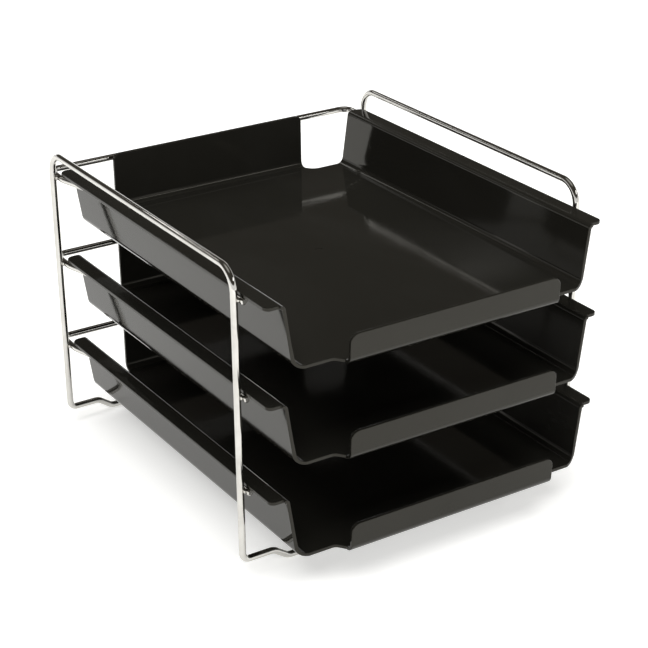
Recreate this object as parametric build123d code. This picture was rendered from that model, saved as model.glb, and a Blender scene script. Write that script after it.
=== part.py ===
from build123d import *
from math import ceil, degrees
import os

# A letter tray stack: a bright wire stand with three pairs of wire rails, and three
# moulded trays that hang by their side flanges on the rails and slide out to the front.
# Millimetres. +Z is up, the front faces -Y, and the stand rests on z = 0.

# ---- stand: one gauge of wire throughout ---------------------------------------------
wire_diameter = 4.8
leg_spacing_y = 265.0       # front leg to rear leg, centre to centre
stand_height = 219.7        # floor to the top of the side frames
top_bend_radius = 15.0      # centreline, where a leg turns into the top rail
foot_bend_radius = 5.0      # centreline, where a leg turns into the foot wire
foot_rise = 7.5             # how far the ends of a foot wire are lifted off the floor
foot_lift_length = 23.6     # lifted stretch at each end, from the leg's axis to the ramp
foot_ramp_length = 11.0     # sloping stretch, down to the flat one that lies on the floor
foot_ramp_radius = 8.0
foot_turn_up = 10.0         # upright end of a foot wire, above its lifted level
weld_bite = 0.2             # how deep two crossing wires melt into each other

# ---- rails: one U-shaped wire for each tray ------------------------------------------
level_names = ["bottom", "middle", "top"]
level_pitch = 67.7          # from one tray's flange to the next
lowest_flange_top = 67.2    # flange top of the lowest tray, above the floor
rail_inset = 0.9            # gap between a side wall and the rail beside it
rail_nose = 5.5             # rail end that sticks out in front of the front leg's axis
front_jog_start = 4.5       # where the rail leaves the front leg, behind its axis
front_jog_length = 15.0
rear_jog_start = 7.5        # where the rail leaves the rear leg, in front of its axis
rear_jog_length = 28.0
jog_radius = 12.0
stop_reach = 17.5           # cross wire behind the rear legs' axes
stop_bend_radius = 8.0
wire_end_chamfer = 0.8

# ---- tray: a moulded sheet of even thickness -----------------------------------------
sheet = 2.5
tray_top_width = 243.0      # over the side walls, level with the flange top
tray_floor_width = 230.0    # over the side walls, level with the floor's underside
tray_depth = 44.5           # flange top to the floor's underside
floor_corner_radius = 8.0   # outside, where a side wall turns into the floor
rim_radius = 3.5            # inside, where a side wall turns out into the flange
flange_width = 10.5         # beyond the side wall
flange_setback = 2.0        # flange front behind the front ends of the side walls
flange_front_radius = 4.5
flange_rear_radius = 6.0
wall_length = 297.0         # side walls, front to back
floor_reach = 3.2           # floor's front edge ahead of the side walls' ends
rear_panel_width = 164.0
rear_panel_reach = 13.5     # back face of the rear panel behind the side walls' ends
rear_panel_bend = 5.0       # inside, floor to rear panel
rear_panel_corner = 5.0
rear_notch_radius = 10.0    # in plan, between the rear panel and the floor's rear edge
lip_width = 165.0
lip_reach = 13.6            # front of the lip ahead of the floor's front edge
tongue_flare = 4.5          # tongue under the lip, each side, where it leaves the floor
tongue_notch_radius = 4.5   # in plan, between the tongue and the floor's front edge
lip_height = 21.5           # above the floor's underside
lip_bend = 4.0              # inside, floor to lip
lip_lean = 1.0              # how far the lip's top stands out ahead of its foot
lip_corner = 6.0
gate_mark_diameter = 6.0    # round dimple in the floor
gate_mark_depth = 0.3
gate_mark_offset = 4.5      # behind the middle of the tray

# ---- clearances ------------------------------------------------------------------------
leg_gap = 1.2               # flange edge to the leg beside it
hang_gap = 0.3              # flange underside above the rails
stop_gap = 4.1              # rear panel in front of the cross wire, tray pushed home

# ---- worked out from the sizes above ---------------------------------------------------
wire_radius = wire_diameter / 2
leg_y = leg_spacing_y / 2
top_rail_z = stand_height - wire_radius
foot_level = wire_radius + foot_rise
foot_joint_z = foot_level + foot_turn_up
stop_y = leg_y + stop_reach

wall_top_x = tray_top_width / 2
wall_foot_x = tray_floor_width / 2
wall_lean = (wall_top_x - wall_foot_x) / tray_depth
flange_x = wall_top_x + flange_width
leg_x = flange_x + leg_gap + wire_radius
rail_drop = sheet + hang_gap + wire_radius
rail_x = wall_top_x - wall_lean * rail_drop + rail_inset + wire_radius
rail_at_leg_x = leg_x - wire_diameter + weld_bite

panel_back_y = stop_y - wire_radius - stop_gap
wall_rear_y = panel_back_y - rear_panel_reach
wall_front_y = wall_rear_y - wall_length
floor_front_y = wall_front_y - floor_reach
lip_face_y = floor_front_y - lip_reach

# the origin is below the middle of the stack, front of the lips to back of the stops
middle_y = (lip_face_y + stop_y + wire_radius) / 2


def flange_top(level):
    return lowest_flange_top + level * level_pitch


def mirrored(right_half):
    """The right half of an outline, front or top first, closed by its mirror image."""
    return right_half + [(-point[0], *point[1:]) for point in reversed(right_half)]


def bend_sections(arc):
    """How many circles a bend is lofted through: three up to 30 degrees, and so on."""
    return 1 + 2 * ceil(degrees(arc.length / arc.radius) / 30)


def bent_wire(points, radii):
    """Round wire: straight runs, and a smooth bend at every inner point."""
    section = Circle(wire_radius)
    runs = []
    for edge in FilletPolyline(*points, radius=radii).edges():
        if edge.geom_type == GeomType.LINE:
            start = Plane(origin=edge @ 0, z_dir=edge % 0)
            runs.append(extrude(start * section, amount=edge.length))
        else:
            last = bend_sections(edge) - 1
            places = [edge.location_at(step / last) for step in range(last + 1)]
            runs.append(loft([place * section for place in places]))
    return Part() + runs


def side_frame(side):
    """Front leg, top rail and rear leg, bent from one wire."""
    x = side * leg_x
    points = [
        (x, -leg_y, foot_joint_z),
        (x, -leg_y, top_rail_z),
        (x, leg_y, top_rail_z),
        (x, leg_y, foot_joint_z),
    ]
    return bent_wire(points, [top_bend_radius] * 2)


def foot_wire(y):
    """Lies on the floor, ramps up at both ends and turns up to meet the legs."""
    ramp_x = leg_x - foot_lift_length
    rest_x = ramp_x - foot_ramp_length
    points = mirrored([
        (leg_x, y, foot_joint_z),
        (leg_x, y, foot_level),
        (ramp_x, y, foot_level),
        (rest_x, y, wire_radius),
    ])
    radii = [foot_bend_radius] + [foot_ramp_radius] * 4 + [foot_bend_radius]
    return bent_wire(points, radii)


def rail_wire(level):
    """A U of wire: a rail under each flange and a stop across the back."""
    z = flange_top(level) - rail_drop
    front_jog_y = front_jog_start - leg_y
    rear_jog_y = leg_y - rear_jog_start
    points = mirrored([
        (rail_at_leg_x, -leg_y - rail_nose, z),
        (rail_at_leg_x, front_jog_y, z),
        (rail_x, front_jog_y + front_jog_length, z),
        (rail_x, rear_jog_y - rear_jog_length, z),
        (rail_at_leg_x, rear_jog_y, z),
        (rail_at_leg_x, stop_y, z),
    ])
    radii = [jog_radius] * 4 + [stop_bend_radius] * 2 + [jog_radius] * 4
    wire = bent_wire(points, radii)
    front_ends = wire.faces().sort_by(Axis.Y)[:2]
    return chamfer(front_ends.edges(), wire_end_chamfer)


def bent_sheet(points, radii):
    """Section of a bent sheet, drawn along its outside with outside bend radii."""
    outside = Wire(FilletPolyline(*points, radius=radii).edges())
    return Face(outside.offset_2d(sheet, side=Side.LEFT))


def channel(top):
    """Flanges, leaning side walls and floor, as long as the side walls."""
    under_flange = top - sheet
    points = mirrored([
        (flange_x, under_flange),
        (wall_top_x - wall_lean * sheet, under_flange),
        (wall_foot_x, top - tray_depth),
    ])[::-1]
    radii = [rim_radius - sheet] + [floor_corner_radius] * 2 + [rim_radius - sheet]
    section = Plane.XZ.offset(-wall_rear_y) * bent_sheet(points, radii)
    return extrude(section, amount=wall_length + floor_reach)


def end_sheet(points, bend, width):
    """Floor turning up into an end wall, the same across its width."""
    section = Plane.YZ * bent_sheet(points, [bend + sheet])
    return extrude(section, amount=width / 2, both=True)


def round_top_corners(solid, half_width, radius):
    """Rounds an upright end wall's two top corners, seen from the front."""
    on_side = solid.edges().filter_by(lambda e: abs(abs(e.center().X) - half_width) < 0.01)
    right = on_side.filter_by(lambda e: e.center().X > 0).sort_by(Axis.Z)[-1]
    left = on_side.filter_by(lambda e: e.center().X < 0).sort_by(Axis.Z)[-1]
    return fillet([right, left], radius)


def plan_prism(top):
    """The tray's outline seen from above, as tall as the tray."""
    step_x = wall_top_x + rim_radius - sheet
    corners = [
        ((lip_width / 2, lip_face_y), 0),
        ((lip_width / 2, lip_face_y + lip_lean + lip_bend + sheet), 0),
        ((lip_width / 2 + tongue_flare, floor_front_y), tongue_notch_radius),
        ((wall_foot_x - floor_corner_radius, floor_front_y), 0),
        ((wall_foot_x, wall_front_y), 0),
        ((step_x, wall_front_y), 0),
        ((step_x, wall_front_y + flange_setback), 0),
        ((flange_x, wall_front_y + flange_setback), flange_front_radius),
        ((flange_x, wall_rear_y), flange_rear_radius),
        ((rear_panel_width / 2, wall_rear_y), rear_notch_radius),
        ((rear_panel_width / 2, panel_back_y), 0),
    ]
    points = mirrored([point for point, _ in corners])
    radii = [radius for _, radius in corners]
    outline = FilletPolyline(*points, radius=radii + radii[::-1], close=True)
    face = Pos(0, 0, top - tray_depth) * make_face(outline)
    return extrude(face, amount=tray_depth, dir=(0, 0, 1))


def tray(level):
    """Open-fronted tray with a low lip, hung by its flanges."""
    top = flange_top(level)
    under = top - tray_depth
    inside = under + sheet
    widest = 2 * (wall_foot_x - floor_corner_radius)

    front = end_sheet([
        (lip_face_y, under + lip_height),
        (lip_face_y + lip_lean, under),
        (wall_front_y, under),
    ], lip_bend, widest)
    rear = end_sheet([
        (wall_rear_y - rear_panel_bend, under),
        (panel_back_y, under),
        (panel_back_y, top),
    ], rear_panel_bend, widest)

    outline = plan_prism(top)
    front = round_top_corners(front & outline, lip_width / 2, lip_corner)
    rear = round_top_corners(rear & outline, rear_panel_width / 2, rear_panel_corner)
    body = (channel(top) & outline) + front + rear

    mark_y = (lip_face_y + panel_back_y) / 2 + gate_mark_offset
    mark = Pos(0, mark_y, inside) * Cylinder(gate_mark_diameter / 2, 2 * gate_mark_depth)
    return body - mark


def save(shape, name):
    export_step(Pos(0, -middle_y, 0) * shape, f"parts/{name}.step")


os.makedirs("parts", exist_ok=True)
save(side_frame(-1), "left_side_frame")
save(side_frame(1), "right_side_frame")
save(foot_wire(-leg_y), "front_foot_wire")
save(foot_wire(leg_y), "rear_foot_wire")
for level, name in enumerate(level_names):
    save(rail_wire(level), f"{name}_rail_wire")
    save(tray(level), f"{name}_tray")
print(f"stack middle {middle_y:.2f}, rail at {rail_x:.2f}, at the leg {rail_at_leg_x:.2f}")
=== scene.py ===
# %% [markdown]
# # A letter tray stack on a wire stand
# Three black moulded trays hang by their flanges on the rails of a chromed wire stand.
# The solid model already holds every size, so this file only dresses it: it rounds the
# trays' edges, adds the welds, and gives the plastic and the chrome their finish.
# Everything is in metres, +Z is up, and the trays' open fronts face -Y.

# %% Load the frame
import math

import bmesh
import bpy
from mathutils import Matrix, Vector


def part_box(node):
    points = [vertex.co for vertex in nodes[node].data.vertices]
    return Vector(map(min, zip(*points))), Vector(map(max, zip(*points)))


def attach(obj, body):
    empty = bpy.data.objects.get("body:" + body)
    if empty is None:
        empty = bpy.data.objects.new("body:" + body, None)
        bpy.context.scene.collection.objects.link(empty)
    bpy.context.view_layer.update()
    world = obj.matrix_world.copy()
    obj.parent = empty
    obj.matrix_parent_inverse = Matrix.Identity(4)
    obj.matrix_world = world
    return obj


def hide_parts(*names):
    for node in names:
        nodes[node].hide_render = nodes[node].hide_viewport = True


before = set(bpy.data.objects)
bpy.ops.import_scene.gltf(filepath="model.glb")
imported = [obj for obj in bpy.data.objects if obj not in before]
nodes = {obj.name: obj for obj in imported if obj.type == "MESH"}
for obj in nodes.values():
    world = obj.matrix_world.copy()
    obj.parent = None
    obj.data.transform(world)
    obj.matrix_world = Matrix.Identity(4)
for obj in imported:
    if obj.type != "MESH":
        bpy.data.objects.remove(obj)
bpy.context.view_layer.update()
MM = 0.001
levels = ["bottom", "middle", "top"]
print("nodes:", ", ".join(sorted(nodes)))

# %% [markdown]
# ## The camera
# The photograph is taken from the front left, a little above the stack, with a long lens,
# so the legs stay almost parallel. The camera is built from the angles that such a view is
# described with: how far round it stands, how high, how far away, and how much it leans.
# Its three axes are worked out from those angles and written straight into its matrix.

# %% Camera
view_azimuth = math.radians(-32.04)
view_elevation = math.radians(24.61)
view_roll = math.radians(-0.72)
view_distance = 1.3389
view_target = Vector((0.00654, 0.00565, 0.09858))
sensor_width = 36
focal_length = 102.05

toward_camera = Vector((
    math.sin(view_azimuth) * math.cos(view_elevation),
    -math.cos(view_azimuth) * math.cos(view_elevation),
    math.sin(view_elevation),
))
level_right = Vector((0, 0, 1)).cross(toward_camera).normalized()
level_up = toward_camera.cross(level_right)
camera_right = math.cos(view_roll) * level_right + math.sin(view_roll) * level_up
camera_up = math.cos(view_roll) * level_up - math.sin(view_roll) * level_right

camera = bpy.data.objects.new("camera", bpy.data.cameras.new("camera"))
camera.data.sensor_width = sensor_width
camera.data.lens = focal_length
camera.data.clip_start = 0.05
camera.data.clip_end = 50
turn = Matrix((camera_right, camera_up, toward_camera)).transposed().to_4x4()
camera_place = view_target + view_distance * toward_camera
camera.matrix_world = Matrix.Translation(camera_place) @ turn
bpy.context.collection.objects.link(camera)
bpy.context.scene.camera = camera
print("camera stands at", tuple(round(value, 3) for value in camera_place))

# %% [markdown]
# ## Small helpers for materials
# Every finish here is a node tree. A few short helpers keep them readable: one makes a
# node and sets its inputs, one makes a material around a Principled BSDF, one blends two
# colours by a mask, and two open a shader node group and place it in a material.

# %% Material helpers
FLOAT = "NodeSocketFloat"
VECTOR = "NodeSocketVector"


def add_node(tree, kind, settings=None, **inputs):
    """A node of one kind, with its properties and its unlinked inputs set by name."""
    node = tree.nodes.new(kind)
    for name, value in (settings or {}).items():
        setattr(node, name, value)
    for name, value in inputs.items():
        node.inputs[name.replace("_", " ")].default_value = value
    return node


def new_material(name, **inputs):
    """A material with a Principled BSDF, whose plain inputs are set on the shader."""
    material = bpy.data.materials.new(name)
    material.use_nodes = True
    tree = material.node_tree
    tree.nodes.clear()
    shader = add_node(tree, "ShaderNodeBsdfPrincipled", **inputs)
    output = add_node(tree, "ShaderNodeOutputMaterial")
    tree.links.new(shader.outputs["BSDF"], output.inputs["Surface"])
    return material, tree, shader


def blend(tree, start, end, factor):
    """A colour that goes from start to end, where start may come from another node."""
    mix = add_node(tree, "ShaderNodeMix", {"data_type": "RGBA"})
    if isinstance(start, tuple):
        mix.inputs["A"].default_value = start
    else:
        tree.links.new(start, mix.inputs["A"])
    mix.inputs["B"].default_value = end
    tree.links.new(factor, mix.inputs["Factor"])
    return mix.outputs["Result"]


def new_group(name, inputs, outputs):
    """A shader node group with named inputs and outputs."""
    group = bpy.data.node_groups.new(name, "ShaderNodeTree")
    for label, kind, value in inputs:
        socket = group.interface.new_socket(name=label, in_out="INPUT", socket_type=kind)
        if value is not None:
            socket.default_value = value
    for label, kind in outputs:
        group.interface.new_socket(name=label, in_out="OUTPUT", socket_type=kind)
    return group, add_node(group, "NodeGroupInput"), add_node(group, "NodeGroupOutput")


def place_group(tree, group, place, **inputs):
    """A group in a material, reading a position and set to the material's values."""
    node = add_node(tree, "ShaderNodeGroup", {"node_tree": group}, **inputs)
    tree.links.new(place, node.inputs["Position"])
    return node


print("helpers: add_node, new_material, blend, new_group, place_group")

# %% [markdown]
# ## Smears
# Hands and cloths leave cloudy patches that run a little longer one way than the other. A
# noise texture on stretched coordinates draws them, and a narrow range of it is kept, so
# that most of the surface stays clean. The group puts out a mask, and each finish decides
# what the mask does. Plastic and chrome both use it, each at its own scale.

# %% Smears
smear_starts, smear_full = 0.42, 0.72


def make_smears():
    """Cloudy, slightly stretched patches where hands and cloths have been, 0 to 1."""
    group, given, out = new_group(
        "smears",
        [("Position", VECTOR, None), ("Scale", FLOAT, 12.0), ("Stretch", FLOAT, 2.5)],
        [("Mask", FLOAT)],
    )
    link = group.links.new
    stretch = add_node(group, "ShaderNodeCombineXYZ", X=1.0, Z=1.0)
    link(given.outputs["Stretch"], stretch.inputs["Y"])
    shaped = add_node(group, "ShaderNodeVectorMath", {"operation": "DIVIDE"})
    link(given.outputs["Position"], shaped.inputs[0])
    link(stretch.outputs["Vector"], shaped.inputs[1])
    noise = add_node(
        group, "ShaderNodeTexNoise", Detail=5.0, Roughness=0.62, Distortion=0.6,
    )
    link(shaped.outputs["Vector"], noise.inputs["Vector"])
    link(given.outputs["Scale"], noise.inputs["Scale"])
    patch = add_node(
        group, "ShaderNodeMapRange", From_Min=smear_starts, From_Max=smear_full,
    )
    link(noise.outputs["Fac"], patch.inputs["Value"])
    link(patch.outputs["Result"], out.inputs["Mask"])
    return group


smears = make_smears()
print("effect group:", smears.name)

# %% [markdown]
# ## Scratches
# Paper that slides in and out leaves hairlines, nearly all in one direction. They could be
# drawn one by one, but noise that is squeezed across and long the other way gives the same
# look with one texture: only its highest ridges are kept, and those are thin and broken.

# %% Scratches
scratch_squeeze = (14.0, 1.0, 1.0)
scratch_starts, scratch_full = 0.70, 0.78


def make_scratches():
    """Hairline scratches in one main direction, 0 on clean surface and 1 in a scratch."""
    group, given, out = new_group(
        "scratches",
        [("Position", VECTOR, None), ("Scale", FLOAT, 60.0), ("Turn", FLOAT, 0.3)],
        [("Mask", FLOAT)],
    )
    link = group.links.new
    turned = add_node(group, "ShaderNodeVectorRotate", {"rotation_type": "Z_AXIS"})
    link(given.outputs["Position"], turned.inputs["Vector"])
    link(given.outputs["Turn"], turned.inputs["Angle"])
    squeezed = add_node(group, "ShaderNodeVectorMath", {"operation": "MULTIPLY"})
    squeezed.inputs[1].default_value = scratch_squeeze
    link(turned.outputs["Vector"], squeezed.inputs[0])
    noise = add_node(
        group, "ShaderNodeTexNoise", Detail=3.0, Roughness=0.5, Distortion=0.15,
    )
    link(squeezed.outputs["Vector"], noise.inputs["Vector"])
    link(given.outputs["Scale"], noise.inputs["Scale"])
    line = add_node(
        group, "ShaderNodeMapRange", From_Min=scratch_starts, From_Max=scratch_full,
    )
    link(noise.outputs["Fac"], line.inputs["Value"])
    link(line.outputs["Result"], out.inputs["Mask"])
    return group


scratches = make_scratches()
print("effect group:", scratches.name)

# %% [markdown]
# ## The surface itself
# A moulded or plated face is never perfectly even. Fine grain breaks up the gloss, and a
# slow waviness bends what the face mirrors. Both are noise, one fine and one coarse, added
# up to a height in metres that a Bump node turns into a change of the normal.

# %% Uneven surface
def make_mould_surface():
    """Height of a face: a fine grain on top of a slow waviness, in metres."""
    group, given, out = new_group(
        "mould_surface",
        [
            ("Position", VECTOR, None),
            ("Grain Scale", FLOAT, 2200.0),
            ("Grain Height", FLOAT, 0.000004),
            ("Wave Scale", FLOAT, 14.0),
            ("Wave Height", FLOAT, 0.00004),
        ],
        [("Height", FLOAT)],
    )
    link = group.links.new
    total = add_node(group, "ShaderNodeMath", {"operation": "ADD"})
    for slot, (label, detail) in enumerate((("Grain", 2.0), ("Wave", 1.0))):
        noise = add_node(group, "ShaderNodeTexNoise", Detail=detail, Roughness=0.5)
        link(given.outputs["Position"], noise.inputs["Vector"])
        link(given.outputs[f"{label} Scale"], noise.inputs["Scale"])
        scaled = add_node(group, "ShaderNodeMath", {"operation": "MULTIPLY"})
        link(noise.outputs["Fac"], scaled.inputs[0])
        link(given.outputs[f"{label} Height"], scaled.inputs[1])
        link(scaled.outputs["Value"], total.inputs[slot])
    link(total.outputs["Value"], out.inputs["Height"])
    return group


mould_surface = make_mould_surface()
print("effect group:", mould_surface.name)

# %% [markdown]
# ## Black tray plastic
# The trays are injection-moulded black styrene with a polished mould face: nearly black,
# clearly mirroring at a low angle, and a little duller where it has been handled. The
# colour itself hardly changes. What sells it as plastic is the gloss: roughness rises in
# the smears and scratches, and the bump bends the mirrored wires slightly.

# %% Tray plastic
clean_black = (0.0125, 0.0119, 0.0098, 1)
handled_black = (0.0155, 0.0149, 0.0128, 1)
warm_gloss = (1.0, 0.96, 0.84, 1)
clean_roughness, handled_roughness = 0.06, 0.13
scratch_roughness = 0.12


def make_tray_plastic():
    material, tree, shader = new_material(
        "tray_plastic", IOR=1.36, Specular_Tint=warm_gloss,
    )
    link = tree.links.new
    place = add_node(tree, "ShaderNodeTexCoord").outputs["Object"]
    smear = place_group(tree, smears, place, Scale=9.0, Stretch=2.0).outputs["Mask"]
    scratch = place_group(tree, scratches, place, Scale=55.0, Turn=0.25).outputs["Mask"]
    surface = place_group(tree, mould_surface, place)

    link(blend(tree, clean_black, handled_black, smear), shader.inputs["Base Color"])

    dulled = add_node(
        tree, "ShaderNodeMapRange", To_Min=clean_roughness, To_Max=handled_roughness,
    )
    link(smear, dulled.inputs["Value"])
    scratched = add_node(tree, "ShaderNodeMath", {"operation": "MULTIPLY_ADD"})
    scratched.inputs[1].default_value = scratch_roughness
    link(scratch, scratched.inputs[0])
    link(dulled.outputs["Result"], scratched.inputs[2])
    link(scratched.outputs["Value"], shader.inputs["Roughness"])

    bump = add_node(tree, "ShaderNodeBump", Strength=0.6, Distance=1.0)
    link(surface.outputs["Height"], bump.inputs["Height"])
    link(bump.outputs["Normal"], shader.inputs["Normal"])
    return material


tray_plastic = make_tray_plastic()
print("finish:", tray_plastic.name)

# %% [markdown]
# ## Chromed wire
# Drawn steel wire under bright chrome: a mirror with a fine grain and a thin haze from
# wiping. Chrome returns a little more than half of the light, so its look comes from what
# it mirrors, the white table below and the dim room above. The haze keeps it from looking
# like glass.

# %% Chrome
bright_tone = (0.62, 0.61, 0.58, 1)
hazed_tone = (0.52, 0.505, 0.475, 1)
bright_roughness, hazed_roughness = 0.05, 0.14


def make_chrome():
    material, tree, shader = new_material("chrome", Metallic=1.0)
    link = tree.links.new
    place = add_node(tree, "ShaderNodeTexCoord").outputs["Object"]
    smear = place_group(tree, smears, place, Scale=35.0, Stretch=1.0).outputs["Mask"]
    surface = place_group(
        tree, mould_surface, place,
        Grain_Scale=1500.0, Grain_Height=0.000002, Wave_Scale=120.0, Wave_Height=0.00002,
    )

    link(blend(tree, bright_tone, hazed_tone, smear), shader.inputs["Base Color"])

    haze = add_node(
        tree, "ShaderNodeMapRange", To_Min=bright_roughness, To_Max=hazed_roughness,
    )
    link(smear, haze.inputs["Value"])
    link(haze.outputs["Result"], shader.inputs["Roughness"])

    bump = add_node(tree, "ShaderNodeBump", Strength=0.5, Distance=1.0)
    link(surface.outputs["Height"], bump.inputs["Height"])
    link(bump.outputs["Normal"], shader.inputs["Normal"])
    return material


chrome = make_chrome()
wire_nodes = [name for name in nodes if not name.endswith("_tray")]
for name in wire_nodes:
    nodes[name].data.materials.clear()
    nodes[name].data.materials.append(chrome)
print("chromed:", len(wire_nodes), "wires")

# %% [markdown]
# ## Softened edges
# A moulding has no knife edges: every rim of the sheet is rounded a little, and that thin
# round catches the light as a bright line. The solid's rims are square, so a copy of its
# mesh is worked on: its loose triangles are merged and joined into flat faces, and every
# square edge is bevelled. The small round mark in the floor is much shallower than a rim
# and gets a finer bevel of its own, because one bevel for both would shrink to fit the
# mark.

# %% Rounding
edge_round, edge_segments = 0.6 * MM, 3
mark_round, mark_segments = 0.12 * MM, 2
mark_half_width = 5 * MM
mark_zone_half_length = 100 * MM
merge_distance = 0.01 * MM
flat_within = math.radians(0.5)
square_edge = math.radians(50)


def near_gate_mark(edge):
    """Near the middle plane and away from both ends, only the mark has square edges."""
    middle = (edge.verts[0].co + edge.verts[1].co) / 2
    return abs(middle.x) < mark_half_width and abs(middle.y) < mark_zone_half_length


def bevel_edges(work, edges, offset, segments):
    bmesh.ops.bevel(
        work, geom=edges, offset=offset, offset_type="OFFSET", affect="EDGES",
        segments=segments, profile=0.5, material=-1, clamp_overlap=True,
    )


def round_square_edges(work):
    """Merges a solid's loose triangles, then rounds its rims and its mould mark."""
    bmesh.ops.remove_doubles(work, verts=work.verts, dist=merge_distance)
    bmesh.ops.dissolve_limit(
        work, angle_limit=flat_within, verts=work.verts, edges=work.edges,
    )
    square = [
        edge for edge in work.edges
        if len(edge.link_faces) == 2 and edge.calc_face_angle() > square_edge
    ]
    mark = [edge for edge in square if near_gate_mark(edge)]
    rims = [edge for edge in square if not near_gate_mark(edge)]
    bevel_edges(work, rims, edge_round, edge_segments)
    bevel_edges(work, [edge for edge in mark if edge.is_valid], mark_round, mark_segments)
    many_sided = [face for face in work.faces if len(face.verts) > 4]
    bmesh.ops.triangulate(work, faces=many_sided)
    print("rounded", len(rims), "rim edges and", len(mark), "edges of the mark")


print("rims are rounded by", edge_round / MM, "mm, the mark by", mark_round / MM, "mm")

# %% [markdown]
# ## Trays
# Each tray is a rounded copy of its solid, which then stands for the solid in the same
# place. Smooth shading spreads the normals of the narrow rounds over the large flat faces
# beside them, and a mirroring face shows that as blotches. A Weighted Normal modifier lets
# the large faces decide, so they stay flat and only the rounds curve.

# %% Rounded trays
smooth_below = math.radians(35)
large_face_weight = 60


def rounded_copy(node, name):
    mesh = nodes[node].data.copy()
    mesh.name = name
    work = bmesh.new()
    work.from_mesh(mesh)
    round_square_edges(work)
    work.to_mesh(mesh)
    work.free()
    for polygon in mesh.polygons:
        polygon.use_smooth = True
    mesh.set_sharp_from_angle(angle=smooth_below)
    piece = bpy.data.objects.new(name, mesh)
    bpy.context.collection.objects.link(piece)
    shading = piece.modifiers.new("flat_faces_stay_flat", "WEIGHTED_NORMAL")
    shading.keep_sharp = True
    shading.weight = large_face_weight
    return piece


for level in levels:
    node = f"{level}_tray"
    piece = rounded_copy(node, f"rounded_{node}")
    piece.data.materials.clear()
    piece.data.materials.append(tray_plastic)
    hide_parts(node)
    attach(piece, node)
    print(piece.name, "has", len(piece.data.polygons), "faces")

# %% [markdown]
# ## Where the welds are
# Where a rail crosses a leg the two wires are resistance-welded: they melt together at one
# point. The crossing points follow from the boxes of the wires: a rail wire is widest
# where it lies against the legs, and a leg's axis is one wire radius inside its frame.

# %% Weld points
foot_low, foot_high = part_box("rear_foot_wire")
wire_radius = (foot_high[1] - foot_low[1]) / 2


def weld_points():
    """Between leg and rail, at every crossing of the two."""
    frame_low, frame_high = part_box("left_side_frame")
    leg_rows = (frame_low[1] + wire_radius, frame_high[1] - wire_radius)
    for level in levels:
        rail_low, rail_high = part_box(f"{level}_rail_wire")
        rail_height = (rail_low[2] + rail_high[2]) / 2
        for x in (rail_low[0], rail_high[0]):
            for y in leg_rows:
                yield Vector((x, y, rail_height))


print("wire radius", round(wire_radius / MM, 2), "mm,", len(list(weld_points())), "welds")

# %% [markdown]
# ## Weld nuggets
# A small nugget of melted metal is squeezed out around each weld. Each is a little ball,
# flattened between the wires and made slightly irregular by two waves over its surface.
# All twelve are one piece that belongs to the stand.

# %% Weld nuggets
nugget_size = Vector((1.1, 2.3, 2.3)) * MM
nugget_unevenness = 0.12
waves_across, waves_up = 5, 4


def weld_nuggets():
    work = bmesh.new()
    for number, point in enumerate(weld_points()):
        ball = bmesh.ops.create_uvsphere(work, u_segments=16, v_segments=10, radius=1.0)
        verts = ball["verts"]
        for vert in verts:
            across = math.sin(waves_across * vert.co.y + number)
            up = math.cos(waves_up * vert.co.z - 2 * number)
            vert.co *= 1 + nugget_unevenness * across * up
        bmesh.ops.scale(work, verts=verts, vec=nugget_size)
        bmesh.ops.translate(work, verts=verts, vec=point)
    for face in work.faces:
        face.smooth = True
    mesh = bpy.data.meshes.new("rail_welds")
    work.to_mesh(mesh)
    work.free()
    mesh.materials.append(chrome)
    piece = bpy.data.objects.new("rail_welds", mesh)
    bpy.context.collection.objects.link(piece)
    return piece


rail_welds = weld_nuggets()
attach(rail_welds, "stand")
print(rail_welds.name, "has", len(rail_welds.data.polygons), "faces")

# %% [markdown]
# ## White for the camera and for mirrors
# The stack stands on a white table in front of a white backdrop. Light that is strong
# enough to turn them pure white would wash out the object, so some glow is added to them
# instead, for some rays only: for the camera's, and for rays from a mirroring face or
# through glass, so that mirrors show the same surroundings. All other rays see the plain
# colour, and the glow throws no light on the object.

# %% Rays that see the background
def seen_as_background(tree):
    """1 for rays from the camera, from a mirroring face or through glass, else 0."""
    rays = add_node(tree, "ShaderNodeLightPath")
    seen = rays.outputs["Is Camera Ray"]
    for kind in ("Is Glossy Ray", "Is Transmission Ray"):
        either = add_node(tree, "ShaderNodeMath", {"operation": "MAXIMUM"})
        tree.links.new(seen, either.inputs[0])
        tree.links.new(rays.outputs[kind], either.inputs[1])
        seen = either.outputs["Value"]
    return seen


print("background rays: camera, glossy, transmission")

# %% [markdown]
# ## The table
# One large flat face. The glow on it is added to its own lit colour, so the shadow under
# the stack stays. It grows with the distance from the stack, where the lamps fade, and
# keeps the table white to its far edge.

# %% Table
table_half = 6.0
table_color = (0.8, 0.8, 0.79, 1)
near_lift, far_lift = 0.64, 1.3
lift_grows_from, lift_grows_to = 0.5, 1.8


def lift_by_distance(tree):
    """The strength of the glow, by the distance from the middle of the table."""
    place = add_node(tree, "ShaderNodeTexCoord").outputs["Object"]
    distance = add_node(tree, "ShaderNodeVectorMath", {"operation": "LENGTH"})
    tree.links.new(place, distance.inputs[0])
    lift = add_node(
        tree, "ShaderNodeMapRange",
        From_Min=lift_grows_from, From_Max=lift_grows_to,
        To_Min=near_lift, To_Max=far_lift,
    )
    tree.links.new(distance.outputs["Value"], lift.inputs["Value"])
    return lift.outputs["Result"]


def make_table_white():
    material, tree, shader = new_material(
        "table_white", Roughness=0.9, Specular_IOR_Level=0.0,
        Base_Color=table_color, Emission_Color=table_color,
    )
    lift = add_node(tree, "ShaderNodeMath", {"operation": "MULTIPLY"})
    tree.links.new(seen_as_background(tree), lift.inputs[0])
    tree.links.new(lift_by_distance(tree), lift.inputs[1])
    tree.links.new(lift.outputs["Value"], shader.inputs["Emission Strength"])
    return material


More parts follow.
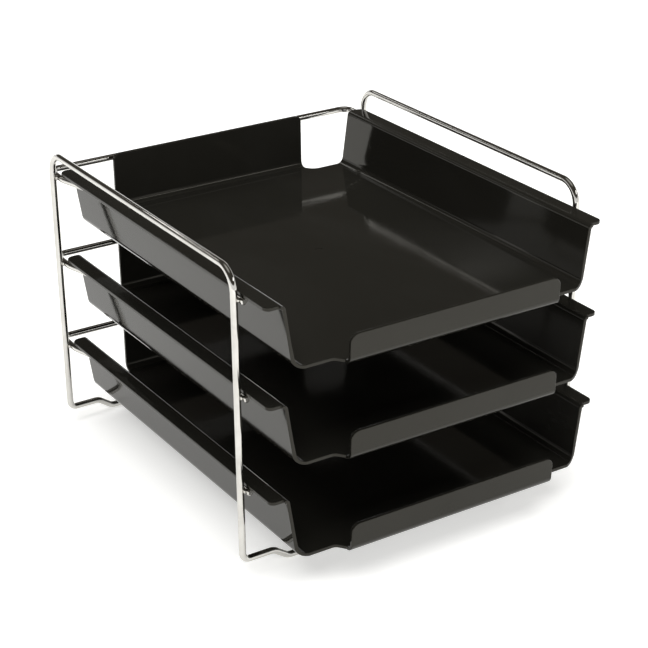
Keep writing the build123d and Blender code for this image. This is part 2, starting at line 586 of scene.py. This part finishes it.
def place_table():
    work = bmesh.new()
    bmesh.ops.create_grid(work, x_segments=1, y_segments=1, size=table_half)
    mesh = bpy.data.meshes.new("table")
    work.to_mesh(mesh)
    work.free()
    mesh.materials.append(make_table_white())
    table = bpy.data.objects.new("table", mesh)
    bpy.context.collection.objects.link(table)


place_table()
print("table:", 2 * table_half, "m square")

# %% [markdown]
# ## The room
# The world is the room around the table. Low down it is the white backdrop, which gives
# only a little light to the object. Above it the room is dim, as a real studio is: chrome
# with nothing but white to mirror would look like white paint, and black plastic like
# grey. Straight overhead there is one pale patch, for faces that look up. The heights are
# those of a direction of length 1, so 0 is the horizon and 1 is straight up.

# %% Room
backdrop_white = (1, 1, 1, 1)
backdrop_dim = (0.16, 0.14, 0.11, 1)
ceiling_color = (0.055, 0.050, 0.042, 1)
overhead_color = (0.45, 0.44, 0.42, 1)
backdrop_ends, ceiling_starts = 0.19, 0.30
overhead_starts, overhead_full = 0.88, 0.96


def make_room():
    """A white backdrop all round, a dim ceiling above it, and a pale patch overhead."""
    world = bpy.data.worlds.new("room")
    world.use_nodes = True
    tree = world.node_tree
    tree.nodes.clear()
    link = tree.links.new
    axes = add_node(tree, "ShaderNodeSeparateXYZ")
    link(add_node(tree, "ShaderNodeTexCoord").outputs["Generated"], axes.inputs["Vector"])

    def rise(start, end):
        """0 below one height in the sky and 1 above the other."""
        step = add_node(
            tree, "ShaderNodeMapRange", {"interpolation_type": "SMOOTHSTEP"},
            From_Min=start, From_Max=end,
        )
        link(axes.outputs["Z"], step.inputs["Value"])
        return step.outputs["Result"]

    backdrop = blend(tree, backdrop_dim, backdrop_white, seen_as_background(tree))
    walls = blend(tree, backdrop, ceiling_color, rise(backdrop_ends, ceiling_starts))
    shown = blend(tree, walls, overhead_color, rise(overhead_starts, overhead_full))
    background = add_node(tree, "ShaderNodeBackground", Strength=1.0)
    link(shown, background.inputs["Color"])
    output = add_node(tree, "ShaderNodeOutputWorld")
    link(background.outputs["Background"], output.inputs["Surface"])
    return world


bpy.context.scene.world = make_room()
print("room:", bpy.context.scene.world.name)

# %% [markdown]
# ## The lamps
# A wide lamp overhead does most of the work, and a low one in front shines in between the
# trays. Both would show as large white shapes in the chrome, so mirroring faces don't see
# them. Two weak strips, one behind and one at the front right, are there for the mirrors:
# they draw the bright lines along the wires and rims.

# %% Lamps
stack_middle = Vector((0, 0, 0.1))
# each lamp: name, place, width, height, power in watts, and whether mirrors show it
lamps = [
    ("overhead", (-0.2, 0.0, 1.5), 2.2, 2.2, 34, False),
    ("front_low", (0.0, -1.6, 0.4), 2.4, 0.6, 17, False),
    ("back_strip", (-0.25, 1.5, 1.25), 1.2, 0.06, 0.5, True),
    ("front_strip", (0.9, -1.0, 0.95), 0.9, 0.15, 2.0, True),
]


def soft_lamp(name, place, width, height, power, mirrored):
    """A soft lamp that faces the stack, and that mirrors may or may not show."""
    lamp = bpy.data.objects.new(name, bpy.data.lights.new(name, "AREA"))
    lamp.data.shape = "RECTANGLE"
    lamp.data.size = width
    lamp.data.size_y = height
    lamp.data.energy = power
    lamp.visible_glossy = mirrored
    facing = (stack_middle - Vector(place)).to_track_quat("-Z", "Y")
    lamp.matrix_world = Matrix.Translation(place) @ facing.to_matrix().to_4x4()
    bpy.context.collection.objects.link(lamp)


for lamp in lamps:
    soft_lamp(*lamp)
print("lamps:", ", ".join(name for name, *_ in lamps))

# %% [markdown]
# The Standard view transform shows a colour as it is written.

# %% Finish
bpy.context.scene.view_settings.view_transform = "Standard"
